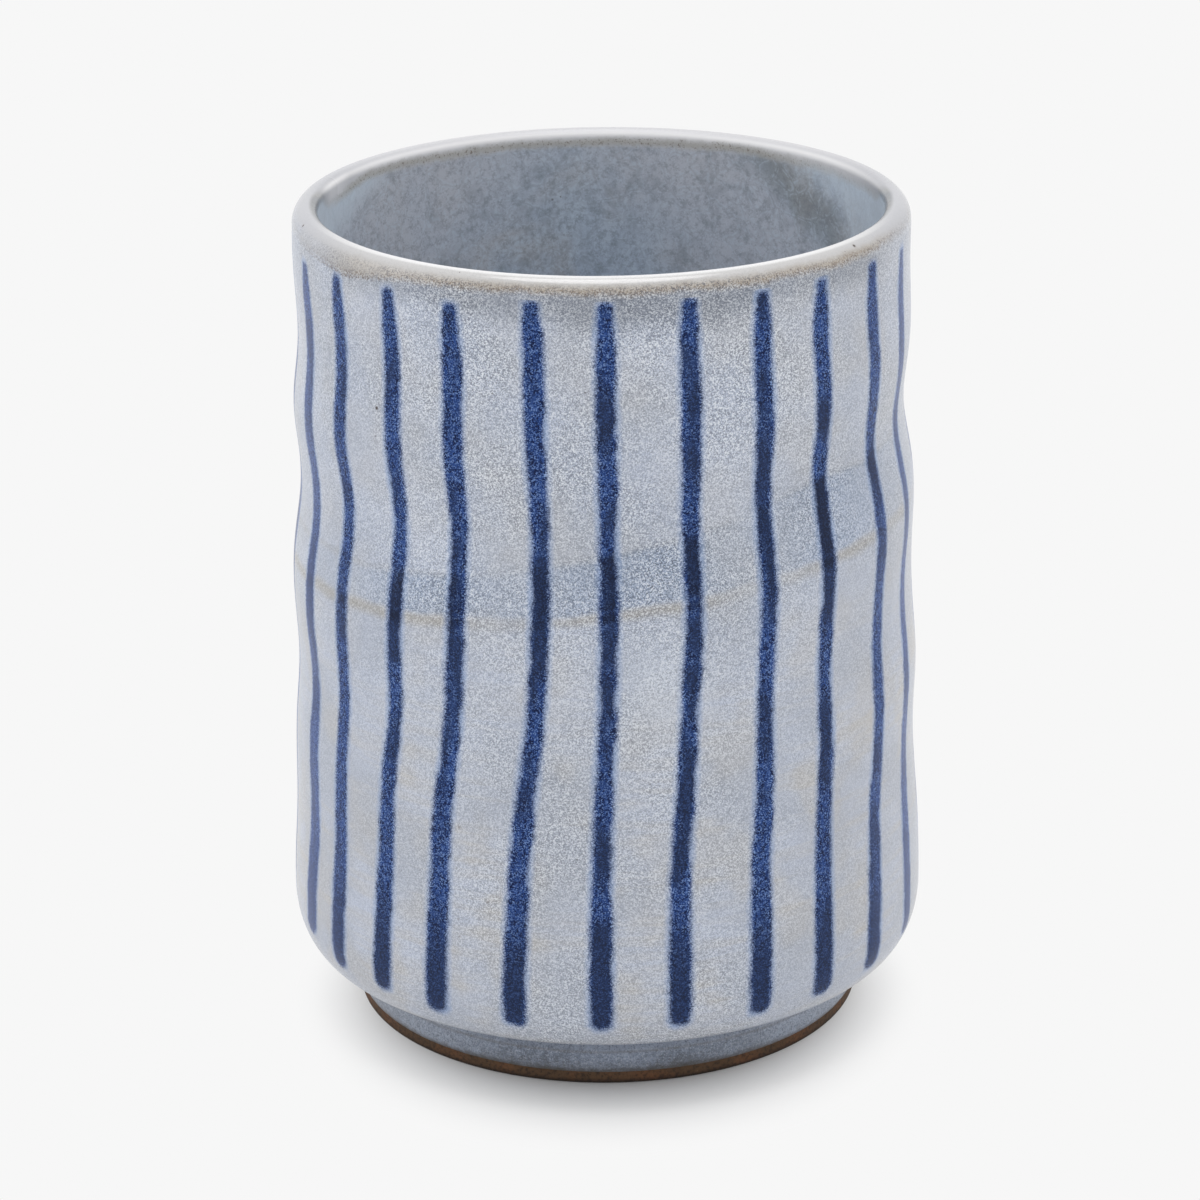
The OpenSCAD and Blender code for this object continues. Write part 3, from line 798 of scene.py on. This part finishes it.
def inner_edge(r):
    """The glaze inside, and how it goes over to white under the lip through a soft olive line, with painted
    light on the slope inside the lip at its back and far left, and painted shade at the lip's two ends.
    """
    here = r.place()
    x, y, z = r.parts(here)
    slow = r.noise(here, 12.0, 2.0) - 0.5
    sides = r.step(x, *LIP_RIGHT_X) + r.step(0.0 - x, *LIP_LEFT_X)
    ragged = z + 0.6 * (r.noise(here, 1.3, 3.0, 0.65) - 0.5) + 1.2 * slow - 2.3 * lip_ends(r)
    far_left = r.step(0.0 - x, *FAR_LEFT_X) * r.step(y, *FAR_LEFT_Y)
    ragged = ragged + 0.8 * far_left
    # White glaze and painted light on the slope inside the lip, at its back and far left
    slope = r.maths("MAXIMUM", r.step(y, 0.0, 22.0), far_left) * (1 - r.step(z, *INNER_LIT_SLOPE_Z))
    white = r.mix(lip_crown_and_highlight(r), LIT_SLOPE_WHITE, slope)
    colour = r.mix(inside_colour(r), white, r.step(ragged, *INNER_WHITE_Z))
    # Painted shade on the inner rounding at the lip's two ends
    shade = lip_ends(r) * r.step(z, *END_SHADE_Z) * 0.8
    colour = r.mix(colour, LIP_SHADE, shade)
    line = r.hump(ragged, 98.4, 0.9) * (1 - 0.7 * sides)
    dots = 1 - r.step(r.noise(here, 0.3, 2.0, 0.8), 0.34, 0.44)
    colour = r.mix(colour, OLIVE, line * 0.55)
    return r.mix(colour, RUST, line * dots * 0.7)


def wall_recipe(r):
    colour, roughness, height = pale_glaze(r)
    r.surface(colour, roughness, height, GLAZE_SHINE)


def lip_recipe(r):
    """The same glaze where it rounds over the lip, smooth and glossy, and meets the glaze inside."""
    outer, _, height = pale_glaze(r)
    x, y, _ = r.parts(r.place())
    radius = r.maths("SQRT", x * x + y * y) - 0.35 * lip_ends(r)
    inward = 1 - r.step(radius, CROWN_R / MM - 0.9, CROWN_R / MM - 0.3)
    colour = r.mix(outer, inner_edge(r), inward)
    r.surface(colour, 0.18 + 0.25 * r.step(y, *LIP_BACK_Y), height, LIP_SHINE)


def brush_recipe(r):
    """Cobalt over the pale glaze: flecked or dense, ragged at its edge, with a pale blue halo round it and a
    painted sheen towards both sides.
    """
    ground, _, height = pale_glaze(r)
    here = r.place()
    x, _, _ = r.parts(here)
    edge = r.attribute("edge_mm")
    along = r.attribute("along")
    grain = r.grain(here, WALL_GRAIN)
    mottle = r.noise(r.place((1, 1, 0.7)), 0.75, 3.0, 0.65)
    pools = r.noise(r.place((1, 1, 0.4)), 4.0, 2.0, 0.5)
    swell = r.noise(r.place((1, 1, 0.6)), 2.6, 2.0)
    ragged = edge + 0.4 * (mottle - 0.5) + 1.2 * (swell - 0.5) + 0.6 * (grain - 0.5)
    ink = 1 - r.step(ragged, -0.46, 0.34)
    halo = (1 - r.step(edge + 0.6 * (mottle - 0.5) + 0.5 * (grain - 0.5), -0.3, 0.8)) * (0.3 + 0.6 * swell)
    band, line = dip_band(r)
    under = r.hump(dip_level(r), -3.0, 5.0)
    foot = 1 - r.step(along + 0.10 * (pools - 0.5), 0.06, 0.18)
    top = r.step(along, 0.965, 0.985)
    dense = r.step(pools + 0.2 * (mottle - 0.5) + 0.10 * band + 0.18 * under, 0.46, 0.66)
    dense = r.maths("MAXIMUM", dense, r.maths("MAXIMUM", foot, top * 0.35))
    core = r.step(0.0 - edge, 0.05, 0.65)
    dark = dense * (0.35 + 0.5 * core)
    blots = grain * 0.6 + mottle * 0.4
    flecked = r.mix(NAVY, COBALT, r.step(blots, 0.42, 0.53))
    flecked = r.mix(flecked, BLUE_FLECK, r.step(grain, 0.56, 0.64) * (0.80 - 0.36 * core))
    thick = r.mix(SLATE, COBALT, r.step(grain, 0.48, 0.62) * 0.42)
    paint = r.mix(flecked, thick, dark)
    paint = r.mix(paint, INK_BLACK, r.maths("MAXIMUM", band * 0.55, line * 0.7) * core)
    # Painted sheen: the paint lighter and bluer towards both sides
    paint = r.mix(paint, SIDE_SHEEN_BLUE, r.step(r.size_of(x), *PAINT_SHEEN_SIDES_X) * 0.42)
    colour = r.mix(r.mix(ground, HALO_BLUE, halo), paint, ink)
    r.surface(colour, PAINT_ROUGHNESS, height, PAINT_SHINE)


def inside_colour(r):
    """The colour of the grey-blue glaze inside, with soft patches, mottling and fine pale craze lines, and
    painted light towards the rim and sides, a painted shadow line at its edge on the right and a painted blue
    glow near both sides.
    """
    here = r.place()
    x, _, z = r.parts(here)
    clouds = r.noise(here, 16.0, 3.0, 0.55, 0.6)
    wisps = r.noise(here, 4.0, 4.0, 0.65, 0.8)
    mottle = r.noise(here, 0.8, 3.0, 0.7)
    grain = r.grain(here, INSIDE_GRAIN)
    colour = r.mix(INSIDE_BLUE, INSIDE_WARM, r.step(clouds, 0.42, 0.64))
    colour = r.mix(colour, INSIDE_PALE, r.step(wisps * 0.5 + mottle * 0.5, 0.46, 0.66) * 0.6)
    sideways = r.size_of(x - INSIDE_MIDDLE_X) + INSIDE_RISE * z + 8 * (clouds - 0.5) + 5 * (wisps - 0.5)
    left = r.step(0.0 - x, *INSIDE_LEFT_X)
    # Painted light, rising towards the rim and the sides
    light = r.step(sideways, *INSIDE_LIGHT_FROM) * (1 - r.step(sideways - 4 * left, *INSIDE_LIGHT_TO))
    colour = r.mix(colour, INSIDE_PAINTED_LIGHT, light * 0.74)
    colour = r.mix(colour, INSIDE_DARK, (1 - r.step(mottle * 0.7 + grain * 0.3, 0.34, 0.54)) * 0.46)
    colour = r.mix(colour, FLECK_AND_GLOW_BLUE, r.step(grain, 0.57, 0.70) * 0.2)
    colour = r.mix(colour, INSIDE_DARK, (1 - r.step(wisps, 0.36, 0.5)) * 0.3)
    # A painted shadow line at the edge of the painted light, on the right
    colour = r.mix(colour, INSIDE_SHADOW_OLIVE, r.hump(sideways, *INSIDE_SHADOW_EDGE) * r.step(x, 0.0, 15.0) * 0.6)
    # A painted pale blue glow near both sides under the rim
    painted_glow = r.step(sideways + 6 * left, *INSIDE_GLOW) * (1 - r.step(z, *GLOW_END_Z))
    colour = r.mix(colour, FLECK_AND_GLOW_BLUE, painted_glow * (0.58 + 0.2 * left))
    push = r.node("ShaderNodeTexNoise", {}, {"Vector": here, "Scale": 0.9, "Detail": 3.0}, "Color")
    bent = r.node("ShaderNodeVectorMath", {"operation": "ADD"}, {0: here, 1: push})
    cells = {"Vector": bent, "Scale": 1 / CRAZE_SIZE}
    crack = r.node("ShaderNodeTexVoronoi", {"feature": "DISTANCE_TO_EDGE"}, cells)
    present = r.step(mottle, 0.40, 0.62)
    colour = r.mix(colour, INSIDE_DARK, (1 - r.step(crack, 0.0, 0.08)) * present * 0.16)
    colour = r.mix(colour, INSIDE_PALE, r.hump(crack, 0.07, 0.06) * present * 0.42)
    colour = r.mix(colour, IRON, r.specks(here, *INSIDE_SPOTS) * 0.8)
    return r.mix(colour, IRON, r.specks(here, *INSIDE_DUST) * 0.6)


def inside_recipe(r):
    """Grey-blue glaze, glossy over faint ripples, with its painted light and shade."""
    here = r.place()
    wisps = r.noise(here, 4.0, 4.0, 0.65, 0.8)
    height = 0.012 * r.noise(here, 1.3, 2.0) + 0.02 * wisps
    r.surface(inner_edge(r), 0.18 + 0.10 * wisps, height)


def foot_glaze_recipe(r):
    """Blue-grey glaze that thins to brown at its lower edge, with painted light at its sides and over the
    shoulder, and painted shade low in front, along the shoulder's line and up the neck under the wall.
    """
    here = r.place()
    x, _, z = r.parts(here)
    mottle = r.noise(here, 0.8, 3.0, 0.65)
    grain = r.grain(here, FOOT_GRAIN)
    clouds = r.noise(here, 9.0, 2.0)
    sides = r.step(r.size_of(x), *FOOT_LIT_SIDES_X)
    colour = r.mix(FOOT_DARK, FOOT_PALE, r.step(mottle * 0.6 + clouds * 0.4, 0.39, 0.63))
    # Painted light at the foot's two sides
    colour = r.mix(colour, FOOT_FLECK_AND_LIGHT, sides * 0.36)
    # Painted light on the slope over the shoulder
    colour = r.mix(colour, FOOT_FLECK_AND_LIGHT, r.step(z, SHOULDER_Z / MM, SHOULDER_Z / MM + 0.4) * 0.45)
    colour = r.mix(colour, FOOT_FLECK_AND_LIGHT, r.step(grain, 0.54, 0.70) * 0.55)
    colour = r.mix(colour, FOOT_SPECK, (1 - r.step(grain, 0.34, 0.47)) * 0.5)
    level = z + 1.2 * (mottle - 0.5) + 0.7 * (clouds - 0.5)
    # Painted shade low on the front of the foot
    colour = r.mix(colour, FOOT_THIN_AND_SHADE, (1 - r.step(level, 1.6, 4.2)) * (1 - sides) * 0.42)
    colour = r.mix(colour, FOOT_THIN_AND_SHADE, (1 - r.step(level, 1.2, 2.7)) * 0.9)
    colour = r.mix(colour, BARE_CLAY, 1 - r.step(level, 0.9, 1.7))
    # Painted shade along the shoulder's line, and up the neck under the wall
    shoulder_shade = r.hump(z, SHOULDER_Z / MM - 0.05, 0.28)
    colour = r.mix(colour, CREASE_SHADE, shoulder_shade * 0.45)
    neck_shade = r.step(z, (SHOULDER_Z + SHOULDER_H) / MM + 0.6, FOOT_H / MM)
    colour = r.mix(colour, CREASE_SHADE, neck_shade * 0.15)
    r.surface(colour, 0.24 + 0.2 * (1 - r.step(level, 1.8, 2.8)), 0.012 * mottle + 0.004 * grain)


def clay_recipe(r):
    """Bare dark stoneware: brown with orange bloom, grit, and turning lines round it."""
    here = r.place()
    _, _, z = r.parts(here)
    grit = r.noise(here, 0.45, 4.0, 0.7)
    bloom = r.noise(here, 7.0, 3.0)
    rings = r.noise(r.place((0.12, 0.12, 3.0)), 1.0, 2.0)
    colour = r.mix(BARE_CLAY, ORANGE_CLAY, r.step(bloom, 0.44, 0.64) * 0.8)
    colour = r.mix(colour, BURNT_CLAY, (1 - r.step(grit, 0.36, 0.54)) * 0.7)
    colour = r.mix(colour, PALE_GRIT, r.step(grit, 0.60, 0.76) * 0.45)
    scorched = 1 - r.step(z + 0.5 * (grit - 0.5), 0.25, 0.9)
    colour = r.mix(colour, BURNT_CLAY, scorched * 0.85)
    r.surface(colour, 0.62 + 0.2 * grit, 0.03 * grit + 0.05 * rings, CLAY_SHINE)


def well_recipe(r):
    """The dipped glaze under the foot: pale grey over turning rings, thinning to clay at its edge."""
    here = r.place()
    _, _, z = r.parts(here)
    clouds = r.noise(here, 8.0, 3.0, 0.6)
    grain = r.grain(here, INSIDE_GRAIN)
    colour = r.mix(WELL_GREY, WELL_WARM, r.step(clouds, 0.42, 0.66))
    colour = r.mix(colour, FLECK_WHITE, r.step(grain, 0.54, 0.74) * 0.5)
    colour = r.mix(colour, FLECK_GREY, (1 - r.step(grain, 0.30, 0.46)) * 0.5)
    colour = r.mix(colour, IRON, r.specks(here, *WELL_SPOTS) * 0.8)
    thin = 1 - r.step(z + 1.2 * (clouds - 0.5), 1.9, 3.0)
    colour = r.mix(colour, BARE_CLAY, thin * 0.9)
    r.surface(colour, 0.24 + 0.1 * clouds, 0.012 * r.noise(here, 1.2) + 0.02 * clouds)


wall_finish = finish("pale_glaze", wall_recipe)
lip_finish = finish("lip_glaze", lip_recipe)
brush_finish = finish("cobalt_brushwork", brush_recipe)
inside_finish = finish("grey_blue_inside_glaze", inside_recipe)
foot_finish = finish("foot_glaze", foot_glaze_recipe)
clay_finish = finish("dark_stoneware", clay_recipe)
well_finish = finish("well_glaze", well_recipe)

dress(make_wall_coat(), "outer_glaze", wall_finish)
dress(make_lip_coat(), "lip_glaze", lip_finish)
dress(make_inside_coat(), "inner_glaze", inside_finish)
dress(make_foot(), "foot_ring", clay_finish)
dress(make_foot_coat(), "foot_glaze", foot_finish)
dress(make_well_coat(), "well_glaze", well_finish)
for number in range(1, 1 + sum(name.startswith("stripe_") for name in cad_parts)):
    dress(make_stroke(number), f"stripe_{number:02d}", brush_finish)

# The clay body is hidden under the glaze, and keeps its own mesh
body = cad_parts["clay_body"]
body.data.materials.clear()
body.data.materials.append(clay_finish)


# The camera: where it stands, its tilt below the horizon, and its focal length in the picture's pixels
CAMERA_BACK = 452.5 * MM
CAMERA_RISE = 217.7 * MM
CAMERA_TILT = 20.37
CAMERA_TURN = 0.073
CAMERA_ROLL = -0.54
FOCAL_PX = 3977
PICTURE_PX = 1200
SENSOR_MM = 36


def add_camera():
    data = bpy.data.cameras.new("camera")
    data.sensor_width = SENSOR_MM
    data.lens = FOCAL_PX / PICTURE_PX * SENSOR_MM
    camera = bpy.data.objects.new("camera", data)
    turn = Matrix.Rotation(math.radians(CAMERA_TURN), 4, "Z")
    tilt = Matrix.Rotation(math.radians(90 - CAMERA_TILT), 4, "X")
    roll = Matrix.Rotation(math.radians(CAMERA_ROLL), 4, "Z")
    camera.matrix_world = Matrix.Translation((0, -CAMERA_BACK, CAMERA_RISE)) @ turn @ tilt @ roll
    bpy.context.scene.collection.objects.link(camera)
    bpy.context.scene.camera = camera


# Light: a wide soft lamp overhead, a little behind the cup, and a pale room all round. The camera and
# reflections see the room white.
LAMP_STRENGTH = 1.7
LAMP_WIDTH = 36
LAMP_LEAN = 8
ROOM_LIGHT = 0.63
ROOM_WHITE = 0.93
FLOOR_GREY = 0.76
FLOOR_SIZE = 6.0
LAMP_PLACE = (0, 0, 1)
# The two soft panels beside the cup
SIDE_SIZE = (0.6, 0.9)
SIDE_X = 0.9
SIDE_Y = -0.1
SIDE_Z = 0.36
LEFT_WATTS = 1.1
RIGHT_WATTS = 0.6
# The floor goes over to plain white for the camera between these distances from a point before the cup,
# with the distances along X multiplied by a stretch
SHADOW_MIDDLE = (0.3, -5.0)
SHADOW_STRETCH = 1.1
SHADOW_NEAR_R = 23.2
SHADOW_FAR_R = 43.4


def add_lamp():
    data = bpy.data.lights.new("overhead_softbox", "SUN")
    data.energy = LAMP_STRENGTH
    data.angle = math.radians(LAMP_WIDTH)
    lamp = bpy.data.objects.new("overhead_softbox", data)
    lamp.location = LAMP_PLACE
    lamp.rotation_euler = (math.radians(-LAMP_LEAN), 0, 0)
    bpy.context.scene.collection.objects.link(lamp)


def add_panel(name, place, size, watts):
    """A soft panel lamp that faces the cup's rim, and stays out of the picture itself."""
    data = bpy.data.lights.new(name, "AREA")
    data.shape = "RECTANGLE"
    data.size, data.size_y = size
    data.energy = watts
    panel = bpy.data.objects.new(name, data)
    panel.location = place
    aim = Vector((0, 0, CUP_H)) - panel.location
    panel.rotation_euler = aim.to_track_quat("-Z", "Y").to_euler()
    panel.visible_camera = False
    bpy.context.scene.collection.objects.link(panel)


def showing(r):
    """1 for the rays that show the background: straight to the camera, mirrored or through a clear piece."""
    camera = r.node("ShaderNodeLightPath", {}, {}, "Is Camera Ray")
    bounced = r.maths("MAXIMUM", camera.out("Is Glossy Ray"), camera.out("Is Transmission Ray"))
    return r.maths("MAXIMUM", camera, bounced)


def add_room():
    world = bpy.data.worlds.new("pale_room")
    world.use_nodes = True
    bpy.context.scene.world = world
    r = Recipe(world.node_tree)
    strength = ROOM_LIGHT + (ROOM_WHITE - ROOM_LIGHT) * showing(r)
    light = r.node("ShaderNodeBackground", {}, {"Color": rgb(1, 1, 1), "Strength": strength})
    r.node("ShaderNodeOutputWorld", {}, {"Surface": light})


def floor_recipe(r):
    """A matt pale floor. It shows the cup's shadow close round it, and plain white further out."""
    x, y, _ = r.parts(r.place())
    x, y = SHADOW_STRETCH * (x - SHADOW_MIDDLE[0]), y - SHADOW_MIDDLE[1]
    away = r.maths("SQRT", x * x + y * y)
    lit = r.node("ShaderNodeBsdfDiffuse", {}, {"Color": rgb(FLOOR_GREY, FLOOR_GREY, FLOOR_GREY)})
    plain = r.node("ShaderNodeEmission", {}, {"Color": rgb(ROOM_WHITE, ROOM_WHITE, ROOM_WHITE)})
    share = r.step(away, SHADOW_NEAR_R, SHADOW_FAR_R) * showing(r)
    shader = r.node("ShaderNodeMixShader", {}, {0: share, 1: lit, 2: plain})
    r.node("ShaderNodeOutputMaterial", {}, {"Surface": shader})


def add_floor():
    mesh = bpy.data.meshes.new("floor")
    half = FLOOR_SIZE / 2
    corners = [(-half, -half, 0), (half, -half, 0), (half, half, 0), (-half, half, 0)]
    mesh.from_pydata(corners, [], [(0, 1, 2, 3)])
    mesh.materials.append(finish("pale_floor", floor_recipe))
    floor = bpy.data.objects.new("floor", mesh)
    bpy.context.scene.collection.objects.link(floor)


add_camera()
add_lamp()
add_panel("left_panel", (-SIDE_X, SIDE_Y, SIDE_Z), SIDE_SIZE, LEFT_WATTS)
add_panel("right_panel", (SIDE_X, SIDE_Y, SIDE_Z), SIDE_SIZE, RIGHT_WATTS)
add_room()
add_floor()
bpy.context.scene.view_settings.view_transform = "Standard"
